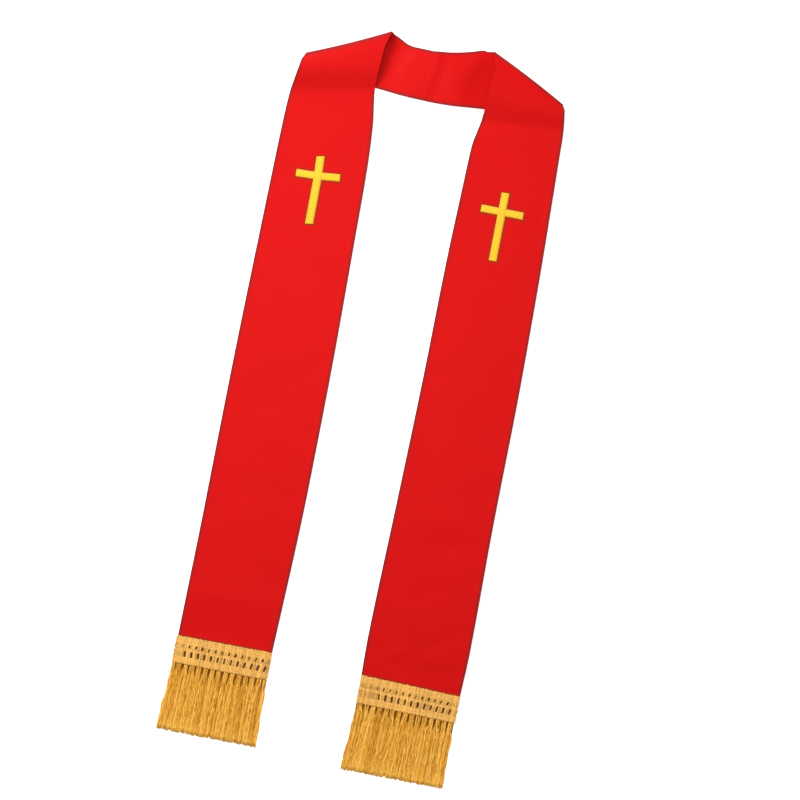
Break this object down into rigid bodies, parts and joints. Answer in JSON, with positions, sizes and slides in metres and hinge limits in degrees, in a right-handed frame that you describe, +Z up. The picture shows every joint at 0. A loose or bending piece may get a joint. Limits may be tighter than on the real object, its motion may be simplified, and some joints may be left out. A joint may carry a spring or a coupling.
{
  "type": "clerical stole",
  "caption": "Long band of red cloth worn round the neck, laid flat and folded over at the shoulders, with a gold cross on each front and openwork braid and fringe at its ends.",
  "frame": {"origin": "middle of the stole's outline at the surface that it lies on", "axes": "+Y towards the back of the neck, -Y towards the fringes, +Z up from the surface, +X towards the front panel on the viewer's right"},
  "size_m": [0.3898, 0.9774, 0.0125],
  "materials": {
    "red_cloth": "matt woven polyester with a faint sheen",
    "gold_embroidery": "satin stitch in bright rayon thread",
    "gold_braid": "woven openwork braid of soft gold yarn",
    "gold_fringe": "bunches of soft twisted gold yarn"
  },
  "bodies": {
    "root": {"left_half": "red_cloth", "right_half": "red_cloth", "cross_left": "gold_embroidery", "cross_right": "gold_embroidery", "heading_left": "gold_braid", "heading_right": "gold_braid", "fringe_left": "gold_fringe", "fringe_right": "gold_fringe"}
  },
  "joints": []
}
